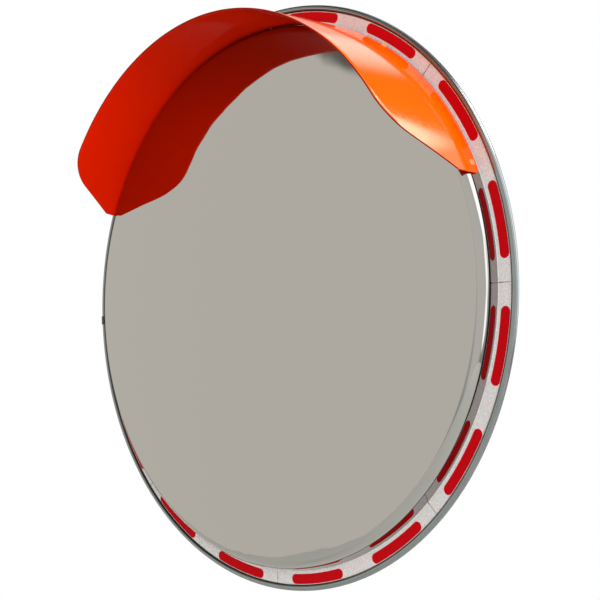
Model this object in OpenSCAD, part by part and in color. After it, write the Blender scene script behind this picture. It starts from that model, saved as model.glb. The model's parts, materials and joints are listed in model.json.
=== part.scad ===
// Traffic convex mirror: a round stainless steel mirror with a reflective tape ring, an orange
// visor and a bracket that clamps to a round pole.
// The mirror looks along -Y and +Z is up. The origin is on the pole's axis, level with the
// middle of the mirror. Millimetres and degrees.

/* [Mirror] */
// Outside diameter over the rim band
mirror_d = 800; // [700:10:1000]
// Radius of the spherical dome
dome_r = 3500; // [2500:100:5000]
// Sheet thickness of the mirror dish
dish_t = 1; // [0.8:0.1:1.2]
// Length of the side wall between the flange and the shoulder
wall_l = 13.8; // [13:0.2:18]
// Lean of the side wall towards the middle
wall_lean = 12; // [10:1:18]
// Radius of the shoulder between side wall and dome
shoulder_r = 14; // [6:1:16]
// Sheet thickness of the back plate
back_t = 1.2; // [1:0.1:2]
// Depth of the back plate behind the flange
back_depth = 40; // [30:1:50]

/* [Rim and tape] */
// Radius of the rim band's round section
band_r = 4.4; // [4.2:0.1:5.4]
// Sheet thickness of the rim band
band_t = 1; // [0.8:0.1:1.2]
// Where the rim band closes, clockwise from the top
band_split = 267; // [200:1:300]
// Width of the reflective tape
tape_w = 16.7; // [14:0.1:18]
// Thickness of the reflective tape
tape_t = 0.25; // [0.2:0.05:0.5]

/* [Visor] */
// Depth of the visor in front of the flange
visor_depth = 127; // [80:1:160]
// Half of the angle that the visor wraps round the mirror
visor_half = 68.8; // [50:0.2:85]
// Turn of the visor on the mirror, clockwise
visor_turn = 0.8; // [-3:0.2:3]
// Thickness of the visor sheet
visor_t = 2; // [1.5:0.5:3]
// Straight cut at each end of the visor, measured from the flange
visor_end = 37; // [25:1:60]
// Slope of the visor's corner, from the line of its front edge
visor_slope = 59; // [45:1:70]
// Rounding between the slope and the front edge
visor_round = 70; // [20:1:80]
// How much the sides close in for each millimetre of depth
visor_close = 0.182; // [0:0.002:0.2]
// How much the visor rises for each millimetre of depth
visor_lift = 0.16; // [0:0.01:0.2]
// Radius of the rivet heads
rivet_r = 4.4; // [3.5:0.1:6]

/* [Bracket] */
// Diameter of the pole
pole_d = 76; // [60:1:90]
// Distance from the pole's axis to the swivel bolt
pan_reach = 85; // [82:1:110]
// Distance from the swivel bolt to the tilt bolt
arm_l = 75; // [65:1:110]
// Distance from the tilt bolt to the tape ring's face
head_reach = 90; // [85:1:110]
// Radius of the tilt and swivel bolts
pivot_r = 6; // [5:0.5:6.5]
// Radius of the pole clamp bolts
clamp_bolt_r = 5; // [4:0.5:5]
// Height of the pole clamp
clamp_h = 120; // [110:5:160]

/* [Hidden] */

round_fn = 96;
ring_fn = 240;

// Ring of flange, tape and rim band
gasket_t = 1;
gasket_w = 14;
stack_t = dish_t + gasket_t + back_t;
band_c = mirror_d / 2 - band_r;
flange_r = band_c - 1.4;
slot_gap = 0.05;
tape_count = 8;
tape_out = band_c - band_r - 0.1;
tape_in = tape_out - tape_w;
tape_seam = 0.2;
fillet_r = 1.2;
wall_r = tape_in - 1.7;
fillet_c = wall_r + fillet_r * (1 - sin(wall_lean)) / cos(wall_lean);
shoulder_c = wall_r - wall_l * sin(wall_lean) - shoulder_r * cos(wall_lean);
shoulder_h = wall_l * cos(wall_lean) - shoulder_r * sin(wall_lean);

// Closure of the rim band: a spring clip snapped over the joint
band_gap = 2;
clip_l = 13;
clip_t = 1.2;
clip_gap = 0.05;
clip_open = 2.2;

// Head position behind the visor and in front of the pole
pan_y = -pan_reach;
tilt_y = pan_y - arm_l;
head_y = tilt_y - head_reach;
back_y = head_y + back_depth + back_t;

// Visor sheet and its rivets
visor_root = 2.5;
visor_gap = 0.07;
visor_slack = tan(wall_lean) - visor_close + visor_lift * cos(visor_half + abs(visor_turn));
visor_in = wall_r + visor_gap - min(visor_slack * visor_root, visor_slack * wall_l);
visor_corner = 6;
visor_columns = 96;
rivet_depth = 10;
rivet_inset = 2.3;
rivet_angles = [for (i = [-2:2]) i * (visor_half - rivet_inset) / 2];
rivet_head_h = 2.4;
rivet_shank_r = 2.5;
rivet_hole_r = 2.6;
bulb_r = 3.6;
bulb_top = -(rivet_depth * tan(wall_lean) + dish_t / cos(wall_lean) + 1.1);
bulb_h = 3.3;

// Fasteners
hex_ratio = 1.85;
thread_gap = 0.02;
bolt_gap = 0.3;
small_washer_t = 2;

// Tilt bracket, arm and lugs
backing_t = 3;
backing_edge = 15;
bracket_t = 6;
bracket_w = 130;
bracket_h = 150;
bracket_hole_x = 45;
bracket_hole_z = 55;
bracket_bolt_r = 5;
bracket_bolt_l = 24;
disc_t = 1.9;
boss_half = 24.8;
boss_r = 24;
cheek_in = boss_half + disc_t + 0.3;
cheek_out = cheek_in + 6;
cheek_r = boss_r + 2;
cheek_foot = boss_r + 16;
bar_w = 30;
bar_h = 38;
web_t = 22;
web_h = 22;
run_gap = 0.06;
pin_gap = 0.1;
washer_t = 2.5;
pivot_head_h = 7.5;
pivot_nut_h = 10.8;
nut_h = 8;
head_h = 6.4;

// Pole clamp
liner_t = 2;
shell_in = pole_d / 2 + liner_t;
shell_out = shell_in + 6;
half_gap = 2;
ear_t = 7;
ear_x = shell_out + 34;
clamp_bolt_x = shell_out + 17;
clamp_bolt_z = clamp_h / 2 - 20;

// Points of an arc about (cx, cy) from angle a0 to a1
function arc(cx, cy, r, a0, a1, n) =
    [for (i = [0:n]) [cx + r * cos(a0 + (a1 - a0) * i / n), cy + r * sin(a0 + (a1 - a0) * i / n)]];

// Unit normal of a path at point i, from its neighbours. The path ends on the lathe's axis,
// so the point after the last is the mirror image of the one before it.
function path_normal(p, i) =
    let (
        a = p[max(i - 1, 0)],
        b = i < len(p) - 1 ? p[i + 1] : [-p[i - 1][0], p[i - 1][1]],
        d = b - a
    )
    [-d[1], d[0]] / norm(d);

// Outline of a sheet of thickness t that lies on the left of a path
function sheet(p, t) =
    concat(p, [for (i = [len(p) - 1:-1:0]) p[i] + t * path_normal(p, i)]);

// Front surface of the mirror dish from flange to axis, as (radius, height)
dome_lean = asin(shoulder_c / (dome_r - shoulder_r));
dome_c = shoulder_h - (dome_r - shoulder_r) * cos(dome_lean);
dish_path = concat(
    [[flange_r, 0]],
    arc(fillet_c, fillet_r, fillet_r, 270, 180 + wall_lean, 5),
    arc(shoulder_c, shoulder_h, shoulder_r, wall_lean, 90 - dome_lean, 12),
    [for (i = [1:24]) dome_r * [sin(dome_lean * (1 - i / 24)), cos(dome_lean * (1 - i / 24))]
        + [0, dome_c]]
);

// Front surface of the back plate from flange to axis
back_slope = 50;
back_top = -dish_t - gasket_t;
back_bend = 8;
back_edge = flange_r - 26.4;
back_foot = back_edge - (back_depth + back_top) / tan(back_slope);
rib_w = 16;
rib_h = 4;
rib_radii = [260, 170];
back_path = concat(
    [[flange_r, back_top]],
    arc(back_edge, back_top - back_bend, back_bend, 90, 90 + back_slope, 6),
    arc(back_foot - back_bend, -back_depth + back_bend, back_bend, back_slope - 90, -90, 6),
    [for (c = rib_radii, i = [0:12])
        [c + rib_w * (0.5 - i / 12), -back_depth - rib_h * (1 - cos(30 * i)) / 2]],
    [[0, -back_depth]]
);

// Depth of the visor's front edge at s millimetres round from its middle
visor_len = visor_in * visor_half * PI / 180;
slope_t = tan(visor_slope);
round_from = visor_len - (visor_depth - visor_end) / slope_t - visor_round * tan(visor_slope / 2);
round_to = round_from + visor_round * sin(visor_slope);
function visor_front(s) =
    s < round_from ? visor_depth :
    s < round_to ? visor_depth - visor_round + sqrt(pow(visor_round, 2) - pow(s - round_from, 2)) :
    visor_end + (visor_len - s) * slope_t;

// Depth of the visor's root, with a small round corner at each end
function visor_back(s) =
    let (u = visor_corner - (visor_len - s))
    u > 0 ? visor_root + visor_corner - sqrt(pow(visor_corner, 2) - u * u) : visor_root;

// Point of the visor at angle a, depth d and radius r
function visor_point(a, d, r) =
    let (q = r - visor_close * d)
    [q * sin(a + visor_turn), q * cos(a + visor_turn) + visor_lift * d, d];

// Slope of the visor towards the axis where the rivet at angle a is, and the height of the
// visor's outer face above the side wall's foot
function rivet_slope(a) = visor_close - visor_lift * cos(a + visor_turn);
function rivet_seat(a) =
    (visor_in + visor_t - wall_r - rivet_slope(a) * rivet_depth) * cos(atan(rivet_slope(a)))
        + 0.05;

// Puts the mirror's own frame, X right, Y up and Z forward, where the head is
module head() {
    translate([0, head_y, 0]) rotate([90, 0, 0]) children();
}

// Turns clockwise from the top, in the head's frame
module clock(a) {
    rotate([0, 0, 90 - a]) children();
}

module tube(r_out, r_in, h) {
    difference() {
        cylinder(r = r_out, h = h, $fn = round_fn);
        translate([0, 0, -1]) cylinder(r = r_in, h = h + 2, $fn = round_fn);
    }
}

// Hexagon bolt along +Z: shank from 0 to l, head below 0
module hex_bolt(r, l, head_h) {
    cylinder(r = r, h = l, $fn = round_fn);
    translate([0, 0, -head_h]) cylinder(r = r * hex_ratio, h = head_h, $fn = 6);
}

module hex_nut(r, h) {
    difference() {
        cylinder(r = r * hex_ratio, h = h, $fn = 6);
        translate([0, 0, -1]) cylinder(r = r + thread_gap, h = h + 2, $fn = round_fn);
    }
}

// Flat plate with round corners, centred, thickness along Z
module round_plate(w, h, r, t) {
    linear_extrude(t) {
        square([w - 2 * r, h], center = true);
        square([w, h - 2 * r], center = true);
        for (x = [-1, 1], y = [-1, 1])
            translate([x * (w / 2 - r), y * (h / 2 - r)]) circle(r = r, $fn = round_fn);
    }
}

// Polished dish: flange, side wall, shoulder and spherical dome, with the rivet holes
module mirror_dish() {
    color("gainsboro") difference() {
        head() rotate_extrude($fn = ring_fn) polygon(sheet(dish_path, dish_t));
        rivet_holes();
    }
}

// Rubber ring between the two flanges
module edge_gasket() {
    color("dimgray") head() translate([0, 0, -dish_t - gasket_t]) difference() {
        cylinder(r = flange_r, h = gasket_t, $fn = ring_fn);
        translate([0, 0, -1])
            cylinder(r = flange_r - gasket_w, h = gasket_t + 2, $fn = ring_fn);
    }
}

module back_plate() {
    color("lightgray") difference() {
        head() rotate_extrude($fn = ring_fn) polygon(sheet(back_path, back_t));
        bracket_holes();
    }
}

// Rolled band that holds both flanges, split at one place where the clip joins its ends
module rim_band() {
    color("silver") head() difference() {
        rotate_extrude($fn = ring_fn) translate([band_c, -stack_t / 2]) difference() {
            circle(r = band_r, $fn = round_fn);
            circle(r = band_r - band_t, $fn = round_fn);
            translate([-2 * band_r, -stack_t / 2 - slot_gap])
                square([2 * band_r, stack_t + 2 * slot_gap]);
        }
        clock(band_split) translate([flange_r - 10, -band_gap / 2, -20])
            cube([30, band_gap, 40]);
    }
}

// Spring clip over the joint of the rim band, open towards the middle
module band_clip() {
    half_turn = clip_l / mirror_d * 180 / PI;
    color("gray") head() rotate([0, 0, 90 - band_split - half_turn])
        rotate_extrude(angle = 2 * half_turn, $fn = ring_fn)
            translate([band_c, -stack_t / 2]) difference() {
                circle(r = band_r + clip_gap + clip_t, $fn = round_fn);
                circle(r = band_r + clip_gap, $fn = round_fn);
                translate([-3 * band_r - clip_open, -2 * band_r])
                    square([3 * band_r, 4 * band_r]);
            }
}

// One length of white reflective tape, numbered clockwise from the top
module tape(i) {
    step = 360 / tape_count;
    color("white") head() rotate([0, 0, 90 - i * step + tape_seam / 2])
        rotate_extrude(angle = step - tape_seam, $fn = ring_fn) translate([tape_in, 0])
            square([tape_w, tape_t]);
}

// Sheet wrapped round the side wall: the corners slope back and its sides close in a little
module visor() {
    angles = [for (i = [0:visor_columns]) visor_half * sin(180 * i / visor_columns - 90)];
    points = [for (a = angles)
        let (s = abs(a) * visor_in * PI / 180, d0 = visor_back(s), d1 = visor_front(s))
        each [
            visor_point(a, d0, visor_in), visor_point(a, d1, visor_in),
            visor_point(a, d1, visor_in + visor_t), visor_point(a, d0, visor_in + visor_t)
        ]];
    last = 4 * visor_columns;
    sides = [for (i = [0:visor_columns - 1], k = [0:3])
        let (a = 4 * i + k, b = 4 * i + (k + 1) % 4)
        each [[a, a + 4, b], [b, a + 4, b + 4]]];
    ends = [[0, 1, 2], [0, 2, 3], [last, last + 2, last + 1], [last, last + 3, last + 2]];
    color("orangered") difference() {
        head() polyhedron(points, concat(sides, ends));
        rivet_holes();
    }
}

// Frames of the rivets, with Z outward and leaning with the visor
module at_rivets() {
    head() for ($rivet = rivet_angles) clock($rivet + visor_turn)
        translate([wall_r, 0, rivet_depth]) rotate([0, 90 - atan(rivet_slope($rivet)), 0])
        children();
}

module rivet_holes() {
    at_rivets() translate([0, 0, -8]) cylinder(r = rivet_hole_r, h = 20, $fn = 24);
}

// Blind rivets: round head on the visor, shank through both sheets, bulb inside the dish
module visor_rivets() {
    color("orangered") at_rivets() {
        translate([0, 0, bulb_top - 1])
            cylinder(r = rivet_shank_r, h = rivet_seat($rivet) - bulb_top + 2, $fn = 24);
        translate([0, 0, bulb_top - bulb_h]) cylinder(r = bulb_r, h = bulb_h, $fn = 24);
        translate([0, 0, rivet_seat($rivet)]) intersection() {
            cylinder(r = rivet_r, h = rivet_head_h, $fn = 32);
            translate([0, 0, rivet_head_h - rivet_r - 1]) sphere(r = rivet_r + 1, $fn = 48);
        }
    }
}

// Holes for the bolts that join bracket, back plate and backing plate
module bracket_holes() {
    for (x = [-1, 1], z = [-1, 1])
        translate([x * bracket_hole_x, back_y, z * bracket_hole_z]) rotate([90, 0, 0])
            cylinder(r = bracket_bolt_r + bolt_gap, h = 60, center = true, $fn = round_fn);
}

// Stiff plate inside the mirror, behind which the bracket is bolted
module backing_plate() {
    color("lightslategray") difference() {
        translate([0, back_y - back_t, 0]) rotate([90, 0, 0])
            round_plate(bracket_w + 2 * backing_edge, bracket_h + 2 * backing_edge, 14, backing_t);
        bracket_holes();
    }
}

module at_bracket_bolts() {
    for (x = [-1, 1], z = [-1, 1])
        translate([x * bracket_hole_x, back_y, z * bracket_hole_z]) rotate([-90, 0, 0]) children();
}

module bracket_bolts() {
    color("silver") at_bracket_bolts() translate([0, 0, -back_t - backing_t])
        hex_bolt(bracket_bolt_r, bracket_bolt_l, head_h);
}

module bracket_washers() {
    color("silver") at_bracket_bolts() translate([0, 0, bracket_t])
        tube(10.5, bracket_bolt_r + bolt_gap, washer_t);
}

module bracket_nuts() {
    color("silver") at_bracket_bolts() translate([0, 0, bracket_t + washer_t])
        hex_nut(bracket_bolt_r, nut_h);
}

// Bent U bracket: base plate with two cheeks that hold the tilt bolt
module tilt_bracket() {
    cheek_l = tilt_y - back_y;
    color("darkgray") difference() {
        union() {
            translate([0, back_y + bracket_t, 0]) rotate([90, 0, 0])
                round_plate(bracket_w, bracket_h, 12, bracket_t);
            for (side = [-1, 1]) translate([side * cheek_in, tilt_y, 0]) rotate([0, side * 90, 0])
                linear_extrude(cheek_out - cheek_in) {
                    circle(r = cheek_r, $fn = round_fn);
                    polygon([
                        [-cheek_r, 0], [-cheek_foot, -cheek_l + 1],
                        [cheek_foot, -cheek_l + 1], [cheek_r, 0]
                    ]);
                }
        }
        bracket_holes();
        translate([-cheek_out - 1, tilt_y, 0]) rotate([0, 90, 0])
            cylinder(r = pivot_r + pin_gap, h = 2 * cheek_out + 2, $fn = round_fn);
    }
}

// Cast arm: a level boss for the tilt bolt and an upright eye for the swivel bolt, joined by
// a bar with a hollow in each side
module swivel_arm() {
    color("gray") difference() {
        union() {
            translate([-boss_half, tilt_y, 0]) rotate([0, 90, 0])
                cylinder(r = boss_r, h = 2 * boss_half, $fn = round_fn);
            translate([0, pan_y, -boss_half]) cylinder(r = boss_r, h = 2 * boss_half, $fn = round_fn);
            translate([-bar_w / 2, tilt_y, -bar_h / 2]) cube([bar_w, arm_l, bar_h]);
        }
        for (side = [0, 1]) mirror([side, 0, 0])
            translate([web_t / 2, tilt_y + boss_r + 3, -web_h / 2])
                cube([bar_w, arm_l - 2 * boss_r - 6, web_h]);
        translate([-boss_half - 1, tilt_y, 0]) rotate([0, 90, 0])
            cylinder(r = pivot_r + run_gap, h = 2 * boss_half + 2, $fn = round_fn);
        translate([0, pan_y, -boss_half - 1])
            cylinder(r = pivot_r + run_gap, h = 2 * boss_half + 2, $fn = round_fn);
    }
}

// Frames of the two pivots, with Z along the bolt and its head at negative Z
module at_tilt() {
    translate([0, tilt_y, 0]) rotate([0, 90, 0]) children();
}

module at_pan() {
    translate([0, pan_y, 0]) mirror([0, 0, 1]) children();
}

module pivot_bolt() {
    translate([0, 0, -cheek_out - washer_t])
        hex_bolt(pivot_r, 2 * (cheek_out + washer_t) + 16, pivot_head_h);
}

module pivot_nut() {
    translate([0, 0, cheek_out + washer_t]) hex_nut(pivot_r, pivot_nut_h);
}

module pivot_washers() {
    for (z = [-cheek_out - washer_t, cheek_out]) translate([0, 0, z])
        tube(12, pivot_r + bolt_gap, washer_t);
}

module pivot_discs() {
    for (z = [-boss_half - disc_t, boss_half]) translate([0, 0, z])
        tube(boss_r - 2, pivot_r + bolt_gap, disc_t);
}

module tilt_bolt() { color("silver") at_tilt() pivot_bolt(); }
module tilt_nut() { color("silver") at_tilt() pivot_nut(); }
module tilt_washers() { color("silver") at_tilt() pivot_washers(); }
module tilt_discs() { color("dimgray") at_tilt() pivot_discs(); }
module pan_bolt() { color("silver") at_pan() pivot_bolt(); }
module pan_nut() { color("silver") at_pan() pivot_nut(); }
module pan_washers() { color("silver") at_pan() pivot_washers(); }
module pan_discs() { color("dimgray") at_pan() pivot_discs(); }

// Front half of a ring round the pole, on the side of -Y
module half_ring(r_out, r_in, h) {
    intersection() {
        translate([0, 0, -h / 2]) tube(r_out, r_in, h);
        translate([-r_out - 1, -r_out - 1, -h / 2 - 1])
            cube([2 * r_out + 2, r_out + 1 - half_gap, h + 2]);
    }
}

// Half of the pole clamp with its two bolting ears
module clamp_half() {
    difference() {
        union() {
            half_ring(shell_out, shell_in, clamp_h);
            for (side = [-1, 1]) translate([side * (ear_x + shell_in + 2) / 2, -half_gap, 0])
                rotate([90, 0, 0]) round_plate(ear_x - shell_in - 2, clamp_h, 6, ear_t);
        }
        for (x = [-1, 1], z = [-1, 1])
            translate([x * clamp_bolt_x, 0, z * clamp_bolt_z]) rotate([90, 0, 0])
                cylinder(r = clamp_bolt_r + bolt_gap, h = 30, center = true, $fn = round_fn);
    }
}

// Front clamp half with the two lugs that carry the swivel bolt
module pole_saddle() {
    color("darkgray") difference() {
        union() {
            clamp_half();
            for (z = [cheek_in, -cheek_out]) translate([0, 0, z]) linear_extrude(cheek_out - cheek_in) {
                translate([0, pan_y]) circle(r = cheek_r, $fn = round_fn);
                translate([-cheek_r, pan_y]) square([2 * cheek_r, pan_reach - shell_in - 8]);
                translate([-boss_r + 4, pan_y]) square([2 * boss_r - 8, pan_reach - shell_in + 3]);
            }
        }
        translate([0, pan_y, -clamp_h])
            cylinder(r = pivot_r + pin_gap, h = 2 * clamp_h, $fn = round_fn);
        translate([0, 0, -clamp_h]) cylinder(r = shell_in, h = 2 * clamp_h, $fn = round_fn);
    }
}

module pole_cap() {
    color("darkgray") mirror([0, 1, 0]) clamp_half();
}

module liner() {
    half_ring(shell_in, pole_d / 2, clamp_h);
}

module front_liner() { color("black") liner(); }
module rear_liner() { color("black") mirror([0, 1, 0]) liner(); }

// Frames of the four pole clamp bolts, with Z forward and the origin between the ears
module at_clamp_bolts() {
    for (x = [-1, 1], z = [-1, 1])
        translate([x * clamp_bolt_x, 0, z * clamp_bolt_z]) rotate([90, 0, 0]) children();
}

module clamp_bolts() {
    reach = half_gap + ear_t + small_washer_t;
    color("silver") at_clamp_bolts() translate([0, 0, -reach])
        hex_bolt(clamp_bolt_r, 2 * reach + 14, head_h);
}

module clamp_washers() {
    color("silver") at_clamp_bolts()
        for (z = [-half_gap - ear_t - small_washer_t, half_gap + ear_t])
            translate([0, 0, z]) tube(10, clamp_bolt_r + bolt_gap, small_washer_t);
}

module clamp_nuts() {
    color("silver") at_clamp_bolts() translate([0, 0, half_gap + ear_t + small_washer_t])
        hex_nut(clamp_bolt_r, nut_h);
}

mirror_dish();
edge_gasket();
back_plate();
rim_band();
band_clip();
tape(1);  // tape_1
tape(2);  // tape_2
tape(3);  // tape_3
tape(4);  // tape_4
tape(5);  // tape_5
tape(6);  // tape_6
tape(7);  // tape_7
tape(8);  // tape_8
visor();
visor_rivets();
backing_plate();
bracket_bolts();
bracket_washers();
bracket_nuts();
tilt_bracket();
swivel_arm();
tilt_bolt();
tilt_nut();
tilt_washers();
tilt_discs();
pole_saddle();
pole_cap();
front_liner();
rear_liner();
pan_bolt();
pan_nut();
pan_washers();
pan_discs();
clamp_bolts();
clamp_nuts();
clamp_washers();
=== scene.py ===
"""Looks of the traffic convex mirror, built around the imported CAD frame."""
import json
import math

import bmesh
import bpy
from mathutils import Matrix, Vector


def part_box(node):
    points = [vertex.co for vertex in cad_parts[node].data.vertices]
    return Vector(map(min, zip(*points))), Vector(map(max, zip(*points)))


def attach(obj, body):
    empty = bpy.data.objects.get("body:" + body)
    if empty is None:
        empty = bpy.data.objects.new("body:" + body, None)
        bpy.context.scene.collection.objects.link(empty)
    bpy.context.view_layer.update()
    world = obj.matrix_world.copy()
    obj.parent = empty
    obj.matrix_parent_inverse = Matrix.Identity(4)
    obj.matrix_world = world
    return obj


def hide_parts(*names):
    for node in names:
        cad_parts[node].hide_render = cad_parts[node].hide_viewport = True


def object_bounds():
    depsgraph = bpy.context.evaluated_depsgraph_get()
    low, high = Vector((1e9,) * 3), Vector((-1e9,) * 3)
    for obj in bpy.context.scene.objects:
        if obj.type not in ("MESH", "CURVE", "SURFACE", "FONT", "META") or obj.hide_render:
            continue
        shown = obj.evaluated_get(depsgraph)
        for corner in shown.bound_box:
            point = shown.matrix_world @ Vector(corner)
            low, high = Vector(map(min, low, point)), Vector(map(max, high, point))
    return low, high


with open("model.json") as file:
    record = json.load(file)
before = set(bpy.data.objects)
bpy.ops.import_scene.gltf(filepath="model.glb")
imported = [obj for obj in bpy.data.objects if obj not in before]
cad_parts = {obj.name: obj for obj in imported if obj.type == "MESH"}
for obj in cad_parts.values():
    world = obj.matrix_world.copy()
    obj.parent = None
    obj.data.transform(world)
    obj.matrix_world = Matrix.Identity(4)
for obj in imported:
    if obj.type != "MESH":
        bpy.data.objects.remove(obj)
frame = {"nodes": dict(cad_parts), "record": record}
nodes = frame["nodes"]
cad_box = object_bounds()

# ------------------------------------- sizes, in metres: those of whole pieces are the CAD's

MM = 0.001
AXIS_NEAR = 1e-7                          # radius under which a point is on the axis

FLANGE_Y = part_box("tape_1")[1].y          # face of the flange, behind the tape
RING_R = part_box("rim_band")[1].z          # outside radius over the rim band
BAND_R = 4.4 * MM                         # outside radius of the band's own section
BAND_T = 1.0 * MM
BAND_C = RING_R - BAND_R
BAND_SPLIT = math.radians(267)            # where the band's ends meet
BAND_GAP = 2 * MM
BAND_SLOT_GAP = 0.05 * MM                 # between the band's lips and the flanges
BAND_GROOVES = (-92, -40, 34, 78, 118)    # where the rolls left a fine groove, in degrees
BAND_GROOVE_H = 0.22 * MM
BAND_GROOVE_W = 5                         # in degrees
FLANGE_R = BAND_C - 1.4 * MM              # edge of both flanges, inside the band
STACK_T = 3.2 * MM                        # both flanges and the gasket between them
CLIP_L = 13 * MM
CLIP_T = 1.2 * MM
CLIP_GAP = 0.05 * MM
CLIP_OPEN = 2.2 * MM
CLIP_EASE = 0.3 * MM

TAPE_OUT = BAND_C - BAND_R - 0.1 * MM
TAPE_IN = TAPE_OUT - 16.7 * MM
TAPE_T = 0.25 * MM
TAPE_LIFT = 0.02 * MM                     # between the film and the steel
TAPE_COUNT = 8
TAPE_SEAM = math.radians(0.2)
TAPE_LIP = 7                              # steps of the inner edge up the fillet
TAPE_LIP_TURN = 9                         # degrees of each step
TAPE_CRINKLE = 0.12 * MM
TAPE_WAVES = (611, 397, 83)               # frequencies of the crinkles round the rim
TAPE_CELL = 7 * MM                        # width of the printed lattice
MARK_R = 384.0 * MM                       # middle radius of the red marks
MARK_HALF_W = 6.7 * MM
MARK_HALF_L = 47.5 * MM
MARK_STEP = math.radians(22.5)
MARK_BLUR = 0.2 * MM

WALL_R = TAPE_IN - 1.7 * MM               # where the side wall would meet the flange
WALL_L = 13.8 * MM
WALL_LEAN = math.radians(12)
WALL_TOP_R = WALL_R - WALL_L * math.sin(WALL_LEAN)
FILLET_R = 1.2 * MM
FILLET_C = WALL_R + FILLET_R * (1 - math.sin(WALL_LEAN)) / math.cos(WALL_LEAN)
SHOULDER_R = 14 * MM
SHOULDER_C = WALL_TOP_R - SHOULDER_R * math.cos(WALL_LEAN)
SHOULDER_H = WALL_L * math.cos(WALL_LEAN) - SHOULDER_R * math.sin(WALL_LEAN)
DOME_R = 3.5
DISH_T = 1.0 * MM

VISOR_T = 2 * MM
VISOR_DEPTH = 127 * MM
VISOR_ROOT = 2.5 * MM                     # height of its root over the flange
VISOR_HALF = math.radians(68.8)
VISOR_TURN = math.radians(0.8)
VISOR_END = 37 * MM                       # depth at its two ends
VISOR_SLOPE = math.radians(59)
VISOR_ROUND = 70 * MM
VISOR_CORNER = 6 * MM
VISOR_EASE = 0.45 * MM
VISOR_CLOSE = 0.182                       # how far it closes in per length forward
VISOR_LIFT = 0.16                         # how far it rises per length forward
VISOR_GAP = 0.07 * MM
VISOR_SLACK = math.tan(WALL_LEAN) - VISOR_CLOSE + VISOR_LIFT * math.cos(VISOR_HALF + VISOR_TURN)
VISOR_IN = WALL_R + VISOR_GAP - VISOR_SLACK * VISOR_ROOT
RIVET_R = 4.4 * MM
RIVET_RIM_H = 0.3 * MM
RIVET_RIM_EASE = 0.2 * MM
RIVET_DOME_H = 1.8 * MM
RIVET_DOME_R = 0.96 * RIVET_R
RIVET_GAP = 0.05 * MM
RIVET_SHANK_R = 2.5 * MM
RIVET_BULB_R = 3.6 * MM
RIVET_BULB_H = 3.1 * MM
RIVET_BULB_EASE = 0.2 * MM
RIVET_DEPTH = 10 * MM                     # height of the rivets over the flange
RIVET_BULB = -(RIVET_DEPTH * math.tan(WALL_LEAN) + DISH_T / math.cos(WALL_LEAN) + 1.1 * MM)
RIVET_INSET = math.radians(2.3)           # from the visor's end to its last rivet
RIVET_ANGLES = [i * (VISOR_HALF - RIVET_INSET) / 2 for i in range(-2, 3)]

BACK_Y = FLANGE_Y + 41.2 * MM             # rear face of the back plate
BACK_T = 1.2 * MM
BACK_DEPTH = 40 * MM
BACK_TOP = -2 * MM
BACK_BRIM = 26.4 * MM                     # from the plate's edge in to its first bend
BACK_FLAT = 6 * MM                        # from that bend out to where the brim is held flat
BACK_BEND = 8 * MM
BACK_SLOPE = 50                           # in degrees
RIB_RADII = (260 * MM, 170 * MM)
RIB_W = 16 * MM
RIB_H = 4 * MM
RIB_FLAT = 30 * MM                        # from a rib in to where the plate is held flat
RIB_STEPS = 24
BACKING_T = 3 * MM

PAN_Y = -85 * MM                          # swivel bolt's axis
TILT_Y = -160 * MM                        # tilt bolt's axis
BRACKET_X = 45 * MM                       # bracket bolts, either side of the middle
BRACKET_Z = 55 * MM
BRACKET_T = 6 * MM
CHEEK_OUT = 33 * MM
BOSS_HALF = 24.8 * MM
BOSS_R = 24 * MM
DISC_R = BOSS_R - 2 * MM
DISC_T = 1.9 * MM
CLAMP_X = 63 * MM
CLAMP_Z = 40 * MM
CLAMP_H = 120 * MM
CLAMP_LUG = 9 * MM                        # from the middle to a lug's outer face
LINER_IN = 38 * MM
LINER_OUT = 40 * MM
LINER_CUT = 2 * MM                        # from the middle to a liner's edge
LINER_GROOVE = 0.7 * MM
LINER_GROOVES = 20

# bolt radius, head height, nut height, pitch
M12 = (6 * MM, 7.5 * MM, 10.8 * MM, 1.75 * MM)
M10 = (5 * MM, 6.4 * MM, 8 * MM, 1.5 * MM)
HOLE_GAP = 0.3 * MM                       # between a bolt and its washer
WASHER_T = 2.5 * MM
WASHER_EASE = 0.35 * MM
THIN_WASHER_T = 2 * MM
THIN_WASHER_EASE = 0.3 * MM
HEX_RATIO = 1.85                          # corner radius of a head or nut over bolt radius
HEX_LAND = 0.94                           # radius of a head's flat face over its half width
HEX_EASE = 0.3 * MM
HEX_COLUMNS = 60
THREAD_DEPTH = 0.55                       # over the pitch
THREAD_ROWS = 8                           # per turn
THREAD_TIP = 1.1 * MM
NUT_EASE = 0.5 * MM
NUT_GAP = 0.02 * MM


# ---------------------------------------------------------------- mesh helpers

def head_point(radius, angle, height):
    """A point of the mirror: angle is clockwise from the top, height is forward of the flange."""
    return Vector((radius * math.sin(angle), FLANGE_Y - height, radius * math.cos(angle)))


def on_circle(cx, cy, r, degrees):
    """The point of a circle at an angle."""
    turn = math.radians(degrees)
    return cx + r * math.cos(turn), cy + r * math.sin(turn)


def arc(cx, cy, r, a0, a1, n):
    """n + 1 points of an arc, angles in degrees."""
    return [on_circle(cx, cy, r, a0 + (a1 - a0) * i / n) for i in range(n + 1)]


def sheet_outline(path, thickness):
    """Closed outline of a sheet behind a path of (radius, height) that runs in to the axis."""
    back = []
    for i, (r, h) in enumerate(path):
        before = path[max(i - 1, 0)]
        after = path[i + 1] if i + 1 < len(path) else (-path[i - 1][0], path[i - 1][1])
        dr, dh = after[0] - before[0], after[1] - before[1]
        size = math.hypot(dr, dh)
        back.append((max(r - dh / size * thickness, 0), h + dr / size * thickness))
    return path + back[::-1]


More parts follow.
